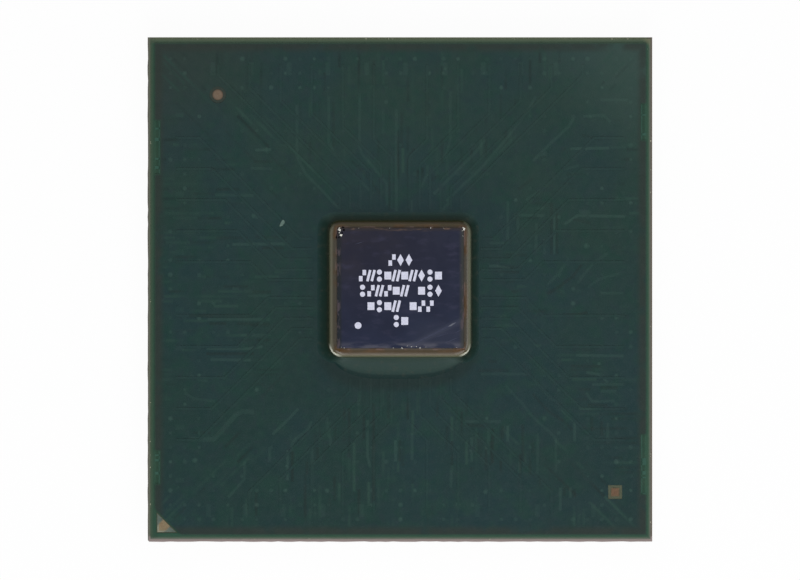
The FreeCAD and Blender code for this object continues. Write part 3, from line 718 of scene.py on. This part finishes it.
# Tracks and gaps that show through the mask beside the long fan-out tracks. Each has its strength,
# above 0 for a paler track and below 0 for a darker gap, then the points that it runs through.
FINE_TRACKS = (
    (0.5, -0.3, 5.4, -0.3, 12.5), (-0.4, -0.75, 5.4, -0.75, 8.3), (-0.4, 0.08, 9.8, 0.08, 12.3),
    (-0.5, 0.5, 7.9, 0.55, 9, 0.95, 9.8), (0.5, 0.75, 5.2, 0.75, 6.2),
    (0.45, -0.95, 5.8, -0.95, 7.3, -2, 8.6, -2.7, 9.4, -2.85, 10, -2.85, 13.6),
    (0.4, -1.9, 6.6, -3.2, 7.9, -4.6, 9.4, -5, 10.2, -5, 13.4), (-0.4, -1.4, 6.6, -2.6, 8.2, -3.4, 8.9),
    (0.5, -4.3, 5.6, -5.5, 6.9, -6.6, 8, -7.2, 9.2, -7.2, 12.8), (-0.4, -4.65, 9.9, -4.65, 13),
    (0.4, 1.45, 7.1, 1.75, 7.8, 2.5, 8.6, 3.2, 9.4, 3.45, 10.4, 3.45, 13.8),
    (0.5, 2.3, 6.6, 3.9, 8.2, 5.2, 9.5, 5.9, 10.4), (0.4, 2.8, 5.4, 3.4, 6), (-0.4, 1.9, 7.4, 2.7, 7.9),
    (0.5, 3.2, 6.1, 4.3, 7.2, 5.5, 8.3, 6.9, 9.9, 7.7, 10.9, 9, 12.6, 9.4, 13.4), (-0.4, 4.4, 6.6, 5, 7.2),
    (0.6, 9.2, 8.9, 10.3, 10, 11.7, 11.3, 12.1, 12),
    (0.45, 8.7, 6.2, 9.5, 6.7, 10.5, 7.5, 11.3, 8.3, 12.4, 8.6), (-0.4, 8.2, 6.9, 9.2, 7.7),
    (0.6, 13.9, 13.15, 15.8, 13.15), (0.6, 12.7, 12, 14.1, 12.1, 14.6, 11.6), (0.9, 11.8, 9.75, 14.5, 9.8),
    (0.4, 14.6, 9.85, 15.7, 9.85), (-0.4, 12.6, 10.7, 14, 10.4), (0.8, 11.4, 4.5, 12.3, 5.1, 15.6, 5.05),
    (0.6, 7.9, 5.15, 10, 5.1), (-0.4, 12, 4.85, 13.2, 4.6), (0.5, 7.45, 3.4, 7.45, 6.1),
    (0.4, 8.15, 3.9, 8.15, 5), (0.5, 9.4, 2.5, 9.45, 4.6), (0.45, 10, 2.4, 10, 3.5),
    (0.7, 10.7, 2.4, 10.7, 5.1), (-0.5, 10.5, 2.4, 10.5, 6), (-0.5, 10.87, 2.4, 10.87, 5.6),
    (0.7, 6.15, 1.6, 6.7, 1.6, 7.6, 1.42), (-0.4, 7.3, 2.4, 8.8, 2.35), (0.4, 6.2, 3.2, 7.2, 3.2),
    (0.4, 10.2, 0.3, 11, 1.1, 11.7, 2.1), (0.4, 12.3, 0.4, 12.9, 1.2, 13.5, 1.9, 14.4, 2.5),
    (-0.6, 10.2, -0.35, 11.1, 0.2, 12, 0.9, 12.6, 1.7), (0.4, 13, 0.1, 13.8, 0.7, 15.2, 1.1),
    (0.5, 13.9, -0.28, 15.5, -0.28), (-0.7, 11.3, -1.8, 12.3, -1.8, 13, -1.6),
    (-0.5, 11.7, -3.95, 13.9, -4), (0.7, 12.2, -4.6, 15.5, -4.65), (-0.5, 11.9, -5.35, 13.9, -5.4),
    (-0.5, 6.1, -5.05, 6.7, -5.05), (-0.4, 5.4, -5.65, 7.5, -5.65), (0.4, 5.6, -5.9, 9, -5.9),
    (0.7, 9, -6, 10.2, -7.3, 11, -8, 11.4, -8.6, 12.1, -9.2, 12.1, -10.6),
    (-0.5, 9.2, -7.3, 10.3, -8.5, 11.3, -9.2),
    (0.4, 7.3, -6.7, 8.4, -7.9, 9.2, -8.9, 10.1, -9.7, 10.8, -10.4, 10.8, -12.7),
    (0.7, 12.9, -5.8, 13.9, -5.95, 14.4, -6.5), (0.5, 13.3, -6.62, 15.5, -6.62),
    (-0.6, 13.9, -6.85, 15.1, -6.85), (0.45, 13.9, -7.1, 15, -7.1),
    (0.55, 12.9, -7.2, 13.3, -7.8, 14.9, -7.78), (-0.5, 13, -8.05, 14.4, -8.1),
    (0.8, 7.45, -9.5, 7.45, -10.6), (-0.7, 6.4, -9.7, 6.4, -12.1), (-0.5, 7.1, -9.5, 7.1, -10.4),
    (-0.5, 8.5, -9.4, 8.5, -12), (0.4, 6.1, -9.8, 6.1, -11.5), (-0.4, 9.2, -10.6, 9.2, -11.4),
    (0.4, 9.55, -10, 9.5, -12.9), (0.5, 8.25, -11.8, 8.25, -12.8), (0.7, 11.1, -13.8, 11.1, -15.4),
    (0.7, 11.8, -13.8, 11.8, -14.5), (-0.5, 11.4, -13.8, 11.4, -14.4), (-0.5, 12.1, -13.9, 12.1, -14.5),
    (0.5, 14.4, -9.3, 14.4, -10.7), (-0.5, 13.3, -8.9, 13.3, -9.9), (-0.5, 13.95, -9.2, 14, -10.2),
    (0.5, 4.3, -9.2, 7, -9.2), (-0.5, 4.5, -9.5, 5.9, -9.5), (0.6, 4.95, -10.3, 4.95, -12),
    (-0.4, 5.4, -10, 5.4, -11.6), (0.7, -2.3, -9.1, -2.3, -11.6, -2.1, -12.4),
    (0.9, -0.35, -10.5, -0.35, -12), (-0.6, -0.05, -10.5, -0.05, -12), (0.6, 0.8, -10, 0.8, -11.9),
    (0.4, -1.25, -6.9, -1.25, -8.1), (0.4, -5.1, -8.9, -5.1, -10, -4.85, -10.4, -4.85, -11.2),
    (-0.4, -4.55, -9.6, -4.55, -10.5), (0.5, 3.5, -12.6, 3.5, -13.8),
    (0.5, -10.85, -12, -10.85, -13.2, -12, -14.5), (0.8, -7.85, -11.2, -7.85, -13.3),
    (-0.8, -7.52, -11.3, -7.52, -13.4), (0.5, -9.1, -11, -9.1, -12), (0.5, -6.15, -11, -6.15, -13.9),
    (0.5, -6.2, -9.2, -6.4, -9.7, -7.4, -10.5, -7.6, -11), (-0.5, -6.5, -12, -6.5, -12.9),
    (-0.5, -5.75, -11, -5.75, -12), (0.7, -7.1, -8.3, -7.7, -8.95, -8.9, -10.1),
    (0.4, -15, -7.2, -14.4, -7.6, -12.9, -7.8), (0.4, -14.6, -6, -13.9, -6.3, -13.4, -6.4),
    (-0.4, -14.4, -10, -13.2, -10), (0.8, -11.7, 3.1, -8, 3.15), (-0.6, -9.6, 2.85, -8.1, 2.85),
    (-0.4, -12.8, 3.55, -10.6, 3.55), (-0.4, -10.1, 3.6, -7.9, 3.6), (0.45, -11.7, 0.05, -11.2, 0.05),
    (0.4, -10.6, -0.48, -9.1, -0.48), (-0.5, -10.3, -0.2, -9, -0.2), (-0.6, -13.4, -1.85, -10.6, -1.85),
    (0.7, -13.4, -2.12, -9.1, -2.1), (-0.7, -13.3, -2.4, -12.1, -2.4), (-0.5, -11.4, -2.42, -9.1, -2.42),
    (0.4, -11.1, -3.2, -9, -3.2), (-0.5, -10, -3.55, -9, -3.55),
    (0.8, -13.5, -4.15, -10.6, -4.15, -9.6, -4), (-0.7, -13.5, -4.5, -10.2, -4.5),
    (0.7, -13.2, -4.9, -10.4, -4.95), (-0.4, -7.9, 0.65, -6.5, 0.65), (0.9, -10.1, 9.65, -9, 9.7),
    (0.5, -10.4, 8.4, -8.9, 8.35), (-0.4, -10.2, 8.85, -8.9, 8.85), (0.5, -12.9, 6.55, -10.2, 6.5),
    (-0.5, -12.8, 6.9, -11.2, 6.95),
)
FINE_TRACK_WIDE = 0.26
WIDE_TRACKS = (
    (0.5, -14.6, -10.45, -13, -10.45, -12.3, -9.7, -11.5, -8.8, -11, -8.5, -10.2, -8.55),
    (0.5, 12.4, 5.35, 13.2, 5.3), (0.5, 9.7, 9.4, 10.2, 9.4),
)
WIDE_TRACK_WIDE = 0.44
# Rows of short strips near the rim: their places along the edge.
BACK_STRIPS = (-13.05, -10.4, -7.75, -5.05, -2.35, 0.35, 3.1, 5.75, 8.35, 10.8)
FRONT_STRIPS = (-13.35, -10.8, -8.15, -5.4, -2.7, 5.35, 9.5, 13.4)
LEFT_STRIPS = (12.1, 6.6, 2.55, -1.4, -4.1, -9.6, -13.3)
TRACK_LEVEL = MASK_TOP - 0.0005
BRIGHT_SHARE = 0.27
DARK_SHARE = 0.5


def make_tracks(name, tracks, wide, material):
    """Rounded low ribbons along the tracks, tinted most along their middle."""
    edges, corners, strengths = [], [], []
    for strength, *places in tracks:
        edges += [(step, step + 1) for step in range(len(corners), len(corners) + len(places) // 2 - 1)]
        corners += [(x, y, TRACK_LEVEL) for x, y in zip(places[::2], places[1::2])]
        strengths += [strength * (BRIGHT_SHARE if strength > 0 else DARK_SHARE)] * (len(places) // 2)
    seed = strong_points(f"{name}_lines", corners, edges, strengths)
    growth = Growth(f"{name}_ribbons")
    half, thick = growth.sizes("Half width", "Thickness")
    lines = growth.step("MeshToCurve", {0: growth.seed})
    section = growth.step("CurvePrimitiveCircle", {"Resolution": 8, "Radius": 1.0})
    section = growth.store(section, "lift", abs(growth.y))
    section = growth.step("Transform", {0: section, "Scale": growth.vector(half, thick, 1.0)})
    ribbons = growth.tinted(growth.step("CurveToMesh", {0: lines, 1: section, "Fill Caps": True}), "lift")
    sizes = {"Half width": wide / 2, "Thickness": 0.002}
    join_frame(growth.grow(name, ribbons, material, sizes, seed), "solder_mask")


def strip_tracks():
    """Short strips: upright along the back and front edges, level along the left one."""
    back = [(0.5, x, 14.85, x, 15.75) for x in BACK_STRIPS]
    front = [(0.35, x, -15.85, x, -14.95) for x in FRONT_STRIPS]
    left = [(0.3, -15.65, y, -15.05, y) for y in LEFT_STRIPS]
    return back + front + left


def rounded_gap(point, middle, half_wide, half_deep, corner):
    """Signed distance from a point to a rounded rectangle, negative inside."""
    over_x = abs(point.x - middle[0]) - half_wide + corner
    over_y = abs(point.y - middle[1]) - half_deep + corner
    outside = math.hypot(max(over_x, 0), max(over_y, 0))
    return outside + min(max(over_x, over_y), 0) - corner


def ray_reach(heading, gap):
    """Distance from the middle of the die to where gap turns positive along a heading."""
    near, far = 0.0, HALF_SIDE
    for _ in range(40):
        halfway = (near + far) / 2
        if gap(heading * halfway) < 0:
            near = halfway
        else:
            far = halfway
    return near


# Underfill: how far the bead and the moat reach beyond the die on each side, and their corners.
BEAD_REACH = {"left": 0.63, "right": 0.54, "back": 0.54, "front": 0.68}
BEAD_BACK_CORNER = 0.82
BEAD_FRONT_CORNER = 1.02
BEAD_TOP = 0.72
BEAD_STEPS = (0.0, 0.12, 0.25, 0.38, 0.5, 0.61, 0.71, 0.8, 0.88, 0.94, 0.98, 1.0)
MOAT_REACH = {"left": 1.5, "right": 1.14, "back": 1.16, "front": 1.1}
MOAT_CORNER = 1.2
MOAT_THICK = 0.035
MOAT_STEPS = (0.03, 0.08, 0.16, 0.28, 0.42, 0.55, 0.66, 0.76, 0.84, 0.92, 1.0, 1.03)
MOAT_SINK = 0.004
STATIONS_PER_SIDE = 48


def side_frame(reaches):
    """Middle and half sizes of the die's outline pushed out by a reach on each side."""
    left, right = -HALF_DIE.x - reaches["left"], HALF_DIE.x + reaches["right"]
    front, back = -HALF_DIE.y - reaches["front"], HALF_DIE.y + reaches["back"]
    return ((left + right) / 2, (front + back) / 2), (right - left) / 2, (back - front) / 2


def die_gap(point):
    return max(abs(point.x) - HALF_DIE.x, abs(point.y) - HALF_DIE.y)


def bead_gap(point):
    corner = BEAD_FRONT_CORNER if point.y < 0 else BEAD_BACK_CORNER
    return rounded_gap(point, *side_frame(BEAD_REACH), corner)


def moat_gap(point):
    return rounded_gap(point, *side_frame(MOAT_REACH), MOAT_CORNER)


def tongue_gap(point):
    return past_tongue(point.x, max(-point.y - HALF_DIE.y, 0)) - 1


def make_underfill(material, fringe):
    """Underfill ring: smooth bead against the die wall, thin moat, flat front tongue."""
    around = [Vector((x * HALF_DIE.x, y * HALF_DIE.y)) for x, y in SQUARE]
    headings = [start.lerp(end, step / STATIONS_PER_SIDE).normalized()
                for start, end in zip(around, around[1:] + around[:1]) for step in range(STATIONS_PER_SIDE)]
    ring = len(BEAD_STEPS) + len(MOAT_STEPS) + 1
    corners, faces, reaches, tongues = [], [], [], []
    for index, heading in enumerate(headings):
        wall, foot, rim = (ray_reach(heading, gap) for gap in (die_gap, bead_gap, moat_gap))
        tip = ray_reach(heading, tongue_gap) if heading.y < 0 else 0.0
        rim = max(rim, tip)
        front = min(max((tip - foot - 0.25) / 0.5, 0), 1)
        swell = TONGUE_HEIGHT * front
        profile = []
        for step in BEAD_STEPS:
            drop = 1 - (1 - step ** 3.2) ** 0.42
            low = MOAT_THICK + swell
            profile.append((wall + (foot - wall) * step, BEAD_TOP + (low - BEAD_TOP) * drop, step * 0.5))
        for step in MOAT_STEPS:
            thin = MOAT_THICK * (1 - step) - MOAT_SINK + swell * (1 - min(step / 0.8, 1))
            profile.append((foot + (rim - foot) * step, thin, min(0.5 + step * 0.5, 1.0)))
        profile.append((wall, -0.006, 0.0))
        for away, height, reach in profile:
            x, y = heading * away + DIE_MIDDLE.xy
            corners.append((x, y, height + MASK_TOP))
            reaches.append(reach)
        tongues += [front] * ring
        here, there = index * ring, (index + 1) % len(headings) * ring
        faces += [[here + row, here + (row + 1) % ring, there + (row + 1) % ring, there + row]
                  for row in range(ring)]
    resin = solid("underfill_resin", corners, faces, material, smooth=True)
    resin.data.materials.append(fringe)
    for face in resin.data.polygons:
        face.material_index = int(min(reaches[corner] for corner in face.vertices) >= 0.5)
    mark_points(resin.data, "reach", reaches)
    mark_points(resin.data, "tongue", tongues)
    join_frame(resin, "underfill_resin", "underfill")


# Rows of plain marks on the die: height of the row's middle, number of places, empty place.
MARK_ROWS = ((2.01, 3, None), (0.93, 10, None), (-0.12, 10, 6), (-1.19, 8, 4), (-2.22, 2, None))
MARK_PITCH = 0.585
MARK_WIDE = 0.5
MARK_TALL = 0.84
MARK_STROKE = 0.18
MARK_LEAN = 14.0
MARK_THICK = 0.004
PIN_DOT = (DIE_LOW.x + 1.44, DIE_LOW.y + 1.56, 0.235)


def slanted_pair(x, y):
    return [oblong(x + step * MARK_WIDE * 0.3, y, MARK_STROKE, MARK_TALL * 0.96, -MARK_LEAN)
            for step in (-1, 1)]


def tall_diamond(x, y):
    reach = MARK_WIDE * 0.46
    return [[(x, y - MARK_TALL / 2), (x + reach, y), (x, y + MARK_TALL / 2), (x - reach, y)]]


def disc_pair(x, y):
    return [regular(x, y + step * MARK_TALL * 0.29, MARK_STROKE, 16) for step in (-1, 1)]


def short_block(x, y):
    return [oblong(x, y, MARK_WIDE * 0.96, MARK_TALL * 0.64)]


def offset_blocks(x, y):
    side = MARK_WIDE * 0.5
    return [oblong(x + step * side / 2, y + step * MARK_TALL / 4, side, MARK_TALL * 0.44)
            for step in (-1, 1)]


def make_marking(material):
    """Rows of plain blocks, diamonds and dots on the die, and the round pin 1 dot."""
    draw = random.Random(5)
    forms = (slanted_pair, short_block, tall_diamond, disc_pair, offset_blocks)
    outlines = []
    for y, count, empty in MARK_ROWS:
        for cell in range(count):
            if cell != empty:
                outlines += draw.choice(forms)((cell - (count - 1) / 2) * MARK_PITCH, y)
    outlines.append(regular(*PIN_DOT, 28))
    slabs("die_marking", outlines, DIE_HIGH.z, DIE_HIGH.z + MARK_THICK, material, "silicon")


def short_scratch(x, y, end_x, end_y, wide):
    start, end = Vector((x, y)), Vector((end_x, end_y))
    along = end - start
    across = Vector((-along.y, along.x)).normalized() * wide / 2
    return [start, start + along * 0.4 - across, end, start + along * 0.6 + across]


def make_scratches(material, bright):
    """Fine scratches on the die, the long one from the front edge towards the right."""
    outlines = [LONG_SCRATCH] + [short_scratch(*each) for each in SCRATCHES]
    low, high = DIE_HIGH.z - 0.001, DIE_HIGH.z + 0.001
    slabs("die_scratches", outlines, low, high, material, "silicon")
    slabs("die_scratch_tip", [short_scratch(*SCRATCH_TIP)], low, high + 0.001, bright, "silicon")


def splinter(middle, reach, draw):
    """Corners of a small closed shard: a skewed four-sided spike."""
    x, y, z = middle
    corners = [(x + reach * draw.uniform(0.5, 1) * math.cos(angle),
                y + reach * draw.uniform(0.5, 1) * math.sin(angle), z - reach * 0.2)
               for angle in (0.3, 1.9, 3.4, 5.0)]
    top = (x + reach * draw.uniform(-0.3, 0.3), y + reach * draw.uniform(-0.3, 0.3),
           z + reach * draw.uniform(0.12, 0.22))
    return corners + [top]


def shards(name, places, material, seed, slot):
    """Piece of shards, each at x, y, z with its reach."""
    draw = random.Random(seed)
    corners, faces = [], []
    for *middle, reach in places:
        first = len(corners)
        corners += splinter(middle, reach, draw)
        faces.append([first + 3, first + 2, first + 1, first])
        faces += [[first + index, first + (index + 1) % 4, first + 4] for index in range(4)]
    join_frame(solid(name, corners, faces, material), slot)


def make_edge_chips(bright, dark):
    """Painted glints as pale shards and painted shade as black shards, where the die's edges are chipped."""
    left, back, right, front = DIE_LOW.x, DIE_HIGH.y, DIE_HIGH.x, DIE_LOW.y
    glints = [(left + 0.2, back - 0.12, 0.24), (left + 0.12, back - 0.34, 0.14),
              (left + 0.24, back - 0.52, 0.27), (right - 0.02, back - 0.06, 0.16),
              (right - 0.1, back - 0.2, 0.07), (right - 0.05, back - 0.55, 0.08)]
    glints += [(x, front + step, reach) for x, step, reach in (
        (-0.5, 0.03, 0.07), (0.12, 0.02, 0.1), (0.45, 0.14, 0.07), (0.75, 0.1, 0.09), (1.1, 0.12, 0.08),
        (1.35, 0.03, 0.09), (1.75, 0.08, 0.06), (-4.1, 0.06, 0.07), (-3.9, 0.02, 0.06), (3.9, 0.05, 0.06))]
    glints += [(x, back - 0.02, reach)
               for x, reach in ((2.1, 0.08), (-0.75, 0.05), (-2.9, 0.05), (3.0, 0.05))]
    pits = ((left + 0.43, back - 0.15, 0.34), (left + 0.06, back - 0.64, 0.3),
            (left + 0.34, back - 0.34, 0.18), (left + 0.05, back - 0.42, 0.16))
    for name, places, material, seed in (("die_edge_glints", glints, bright, 3),
                                         ("die_edge_pits", pits, dark, 8)):
        shards(name, [(x, y, DIE_HIGH.z, reach) for x, y, reach in places], material, seed, "silicon")


def make_rim_nicks(material):
    """Small pale nicks where the mask is chipped at the rim."""
    draw = random.Random(21)
    edge = HALF_SIDE - 0.12
    places = [(-edge, 10.1), (-edge, -12.4), (-edge, -10.6), (-edge, -7.9), (edge, 10.3), (edge, -2.6),
              (14.7, edge), (-2.4, edge), (edge - 0.22, edge - 0.7), (6.2, -edge), (-9.4, -edge)]
    for _ in range(26):
        along = draw.uniform(-edge, edge)
        side = draw.choice((-1, 1))
        places.append((along, side * edge) if draw.random() < 0.5 else (side * edge, along))
    sized = [(x, y, RIM_TOP + 0.03, draw.uniform(0.03, 0.08)) for x, y in places]
    shards("rim_nicks", sized, material, 22, "buildup_film")


def make_edge_burrs(front_material, left_material):
    """Uneven slivers of bare film that show along the front and the left edge."""
    draw = random.Random(17)
    steps, inner, high = 70, HALF_SIDE - 0.02, RIM_TOP - 0.02
    places = [HALF_SIDE * (2 * step / steps - 1) for step in range(steps + 1)]
    front = [(along, -HALF_SIDE - draw.uniform(0.045, 0.085)) for along in places]
    front += [(HALF_SIDE, -inner), (-HALF_SIDE, -inner)]
    left = [(-HALF_SIDE - draw.uniform(0.05, 0.09), -along) for along in places]
    left += [(-inner, -HALF_SIDE), (-inner, HALF_SIDE)]
    slabs("front_edge_burr", [front], high - 0.14, high, front_material, "buildup_film")
    slabs("left_edge_burr", [left], high - 0.13, high - 0.01, left_material, "buildup_film")


def make_dust(material):
    """One pale flake of dust left of the die."""
    flake = [(-8.42, 4.34), (-8.22, 4.38), (-8.04, 4.62), (-8.08, 4.76), (-8.18, 4.82), (-8.32, 4.62)]
    slabs("dust_flake", [flake], MASK_TOP - 0.001, MASK_TOP + 0.03, material, "underfill_resin")


# Copper bars that cross each notch of the plane: their middle beside the notch's, and their width.
NOTCH_BARS = (((-0.85, 0.16), (0.5, 0.1)),
              ((0.2, 0.5), (-0.58, 0.26), (-0.9, 0.1), (-2.05, 0.13)),
              ((-1.4, 0.2), (-0.8, 0.14), (0.55, 0.24), (1.3, 0.14)),
              ((-0.4, 0.2), (0.5, 0.16), (0.85, 0.1)))


def make_notch_bars(material):
    """Plane edge along the bare notches, and the copper bars that cross them."""
    outlines = []
    for (side, middle, length), crossing in zip(NOTCHES, NOTCH_BARS):
        edge = side * (HALF_PLANE - NOTCH_DEPTH + 0.07)
        outlines.append(oblong(edge, middle, 0.1, length - 0.1))
        outlines += [oblong(side * (HALF_PLANE - 0.12), middle + step, NOTCH_DEPTH - 0.06, wide)
                     for step, wide in crossing]
    level = RIM_TOP + 0.03
    slabs("notch_bars", outlines, level - 0.005, level + 0.012, material, "solder_mask")


FLOOR_REACH = 900.0
FLOOR_GREY = (0.86, 0.86, 0.86, 1.0)
WHITE_SHARE = 0.96


def make_stage():
    """White floor in one sheet: white to the camera, and it keeps a soft shadow."""
    material = bpy.data.materials.new("white_floor")
    corners = [(x * FLOOR_REACH, y * FLOOR_REACH, 0) for x, y in SQUARE]
    floor = solid("floor", corners, [[0, 1, 2, 3]], material)
    graph = Graph(cleared(material))
    rays = graph.node("ShaderNodeLightPath")
    camera, glossy, clear = (Flow(graph, rays.outputs[f"Is {kind} Ray"])
                             for kind in ("Camera", "Glossy", "Transmission"))
    diffuse = graph.flow("ShaderNodeBsdfDiffuse", {"Color": FLOOR_GREY})
    white = graph.flow("ShaderNodeEmission", {"Color": (1, 1, 1, 1), "Strength": 1.0})
    share = camera.above(glossy).above(clear) * WHITE_SHARE
    mix = graph.flow("ShaderNodeMixShader", {0: share, 1: diffuse, 2: white})
    graph.node("ShaderNodeOutputMaterial", {0: mix})


# Colours of the sky from the horizon up.
SKY = ((0.0, (0.75, 0.76, 0.78, 1)), (0.55, (0.62, 0.63, 0.65, 1)), (0.85, (0.34, 0.35, 0.37, 1)),
       (1.0, (0.2, 0.2, 0.22, 1)))


def make_world():
    """Soft studio sky, dim overhead so that polished faces seen from above stay dark."""
    world = bpy.data.worlds.new("studio")
    bpy.context.scene.world = world
    graph = Graph(cleared(world))
    height = graph.split(graph.flow("ShaderNodeTexCoord"))[2]
    background = {"Color": graph.ramp(height, SKY), "Strength": 0.9}
    graph.node("ShaderNodeOutputWorld", {0: graph.flow("ShaderNodeBackground", background)})


def make_lamp(name, azimuth, elevation, distance, width, power):
    """Square soft box that faces the middle of the part."""
    turn, lift = math.radians(azimuth), math.radians(elevation)
    back = Vector((math.sin(turn) * math.cos(lift), -math.cos(turn) * math.cos(lift), math.sin(lift)))
    lamp = bpy.data.lights.new(name, "AREA")
    lamp.size = width * MM
    lamp.energy = power
    holder = link(bpy.data.objects.new(name, lamp))
    holder.location = back * distance * MM
    holder.rotation_mode = "QUATERNION"
    holder.rotation_quaternion = (-back).to_track_quat("-Z", "Y")


# The photograph looks straight down: its scale and the place of the part's middle in it.
PIXELS_PER_MM = 14.386
PHOTO_WIDE, PHOTO_TALL = 800, 580
PART_MIDDLE = (400.5, 289.0)
CAMERA_DISTANCE = 450.0


def make_camera():
    camera = bpy.data.cameras.new("overhead")
    camera.sensor_width = 36.0
    camera.lens = camera.sensor_width * (CAMERA_DISTANCE - MASK_TOP) / (PHOTO_WIDE / PIXELS_PER_MM)
    camera.clip_start = 0.01
    camera.clip_end = 10.0
    holder = link(bpy.data.objects.new("overhead", camera))
    x = (PHOTO_WIDE / 2 - PART_MIDDLE[0]) / PIXELS_PER_MM
    y = (PART_MIDDLE[1] - PHOTO_TALL / 2) / PIXELS_PER_MM
    holder.location = Vector((x, y, CAMERA_DISTANCE)) * MM
    bpy.context.scene.camera = holder


green = mask_finish("green_mask")
green_lip = plain_finish("green_mask_lip", (50, 82, 70), (58, 90, 78), 0.35)
film = film_finish()
copper = metal_finish("copper_foil", (150, 98, 70), (110, 70, 50), 0.4)
solder = solder_finish()
ink = plain_finish("pale_marking", (188, 189, 207), (234, 235, 250), 0.6, ior=1.45, per_mm=8.0, uneven=0.2,
                   depth=0.004)
scratch = plain_finish("scratched_silicon", (56, 60, 78), (68, 72, 90), 0.3)
bright_scratch = plain_finish("scratch_glint", (92, 96, 108), (128, 130, 136), 0.3)
# Pale chips are painted glints; black chips are painted shade in the chipped pits.
glint = plain_finish("bright_chip", (210, 208, 196), (236, 234, 226), 0.25)
pit = plain_finish("dark_chip", (4, 4, 5), (16, 16, 18), 0.5, ior=1.1, sheen=0)
nick = plain_finish("pale_nick", (150, 150, 128), (182, 180, 158), 0.5)
# The front sliver is far paler than the left one: painted light on the front edge.
burr = plain_finish("bare_front_edge", (138, 126, 123), (158, 142, 140), 0.6)
left_burr = plain_finish("bare_left_edge", (96, 95, 84), (108, 104, 94), 0.6)
dust = plain_finish("pale_dust", (80, 102, 94), (112, 130, 122), 0.8)

# The nodes of the frame that stay, each with its own finish.
node_finishes = {
    "bottom_mask": green, "bottom_film": film, "laminate_core": laminate_finish(), "inner_film": film,
    "copper_plane": copper, "outer_film": film, "top_tracks": copper, "top_mask": green,
    "round_mark": metal_finish("round_mark_metal", (158, 138, 118), (134, 115, 96), 0.35,
                               (round_edge, 98, 86, 72)),
    "square_mark": metal_finish("square_mark_metal", (138, 110, 88), (116, 92, 73), 0.4,
                                (square_edge, 116, 101, 80)),
    "corner_mark": metal_finish("corner_mark_gold", (170, 152, 120), (144, 124, 97), 0.4,
                                (corner_legs, 166, 166, 144), (corner_tips, 112, 124, 114)),
    "die": silicon_finish(), "die_bumps": solder,
}
for node, material in node_finishes.items():
    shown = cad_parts[node].data
    shown.materials.clear()
    shown.materials.append(material)

make_underfill(resin_finish("cured_underfill", 1.5, SHEEN), resin_finish("underfill_fringe", 1.3, 0.006))
make_balls(solder)
make_ball_windows(green_lip)
make_grid_vias(green)
make_lone_vias(green)
make_tracks("fine_tracks", FINE_TRACKS, FINE_TRACK_WIDE, green)
make_tracks("wide_tracks", WIDE_TRACKS, WIDE_TRACK_WIDE, green)
make_tracks("edge_strips", strip_tracks(), WIDE_TRACK_WIDE, green)
make_marking(ink)
make_scratches(scratch, bright_scratch)
make_edge_chips(glint, pit)
make_rim_nicks(nick)
make_edge_burrs(burr, left_burr)
make_notch_bars(green_lip)
make_dust(dust)

make_stage()
make_world()
make_lamp("front_box", 0, 36, 240, 170, 0.36)
make_lamp("right_box", 70, 48, 260, 140, 0.12)
make_lamp("back_box", 180, 55, 280, 160, 0.08)
make_camera()
bpy.context.scene.view_settings.view_transform = "Standard"
